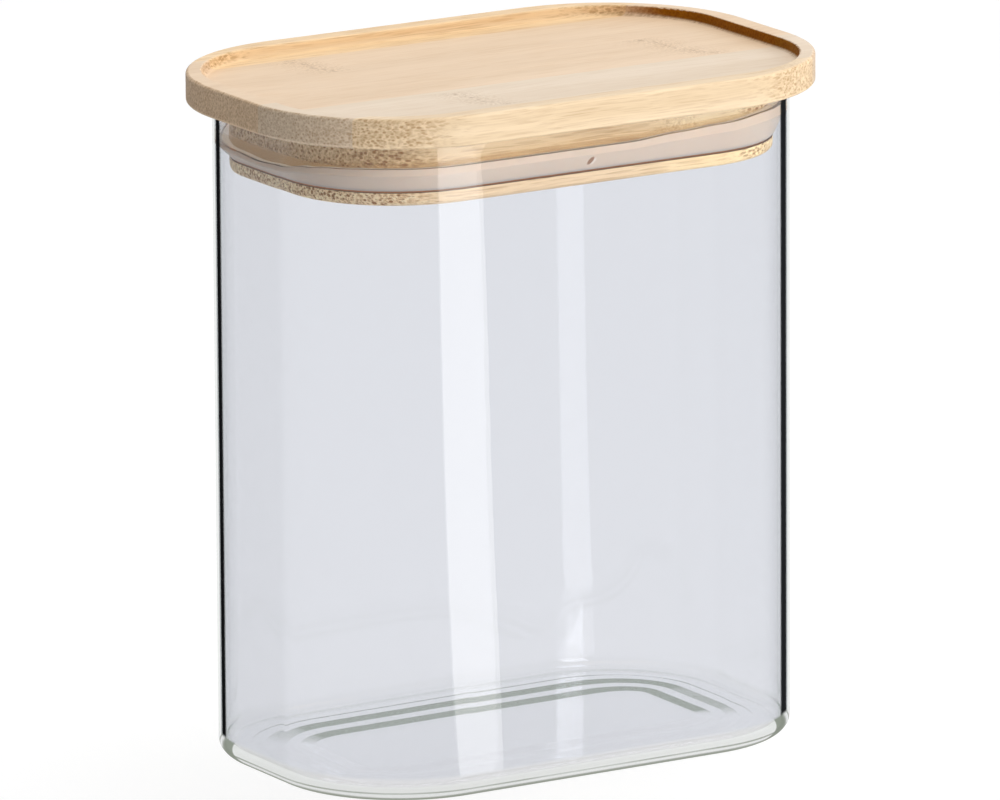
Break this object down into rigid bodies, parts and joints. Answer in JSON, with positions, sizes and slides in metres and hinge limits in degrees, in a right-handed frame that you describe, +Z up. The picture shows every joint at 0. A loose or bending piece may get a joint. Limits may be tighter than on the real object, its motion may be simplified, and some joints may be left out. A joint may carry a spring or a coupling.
{
  "type": "food canister",
  "caption": "Rectangular glass food canister with rounded corners, a laminated bamboo lid with a stacking tray in its top, and a silicone lip seal round the lid's plug.",
  "frame": {"origin": "centre of the jar's base, on the surface it stands on", "axes": "+X along the length, +Y across to the back, -Y is the long face at the front, +Z up"},
  "size_m": [0.155, 0.103, 0.1732],
  "materials": {
    "clear_glass": "clear, smooth, fire-polished rim",
    "clear_silicone": "translucent whitish, satin",
    "bamboo_board_pale": "pale sanded bamboo with a thin matt oil finish, grain along the length",
    "bamboo_board_warm": "warmer sanded bamboo with a thin matt oil finish, grain along the length",
    "bamboo_plug_upper": "sanded bamboo, grain along the length",
    "bamboo_plug_lower": "sanded bamboo, grain along the length"
  },
  "bodies": {
    "jar": {"glass_jar": "clear_glass"},
    "lid": {"board_strip_1_front": "bamboo_board_pale", "board_strip_2": "bamboo_board_pale", "board_strip_3_middle": "bamboo_board_warm", "board_strip_4": "bamboo_board_warm", "board_strip_5_back": "bamboo_board_pale", "plug_upper_strip_1_front": "bamboo_plug_upper", "plug_upper_strip_2": "bamboo_plug_upper", "plug_upper_strip_3": "bamboo_plug_upper", "plug_upper_strip_4_back": "bamboo_plug_upper", "plug_lower_strip_1_front": "bamboo_plug_lower", "plug_lower_strip_2": "bamboo_plug_lower", "plug_lower_strip_3": "bamboo_plug_lower", "plug_lower_strip_4_back": "bamboo_plug_lower", "silicone_seal": "clear_silicone"}
  },
  "joints": [
    {"name": "lid_lift", "type": "slide", "parent": "jar", "child": "lid", "axis": [0, 0, 1], "range_m": [0, 0.05]}
  ]
}
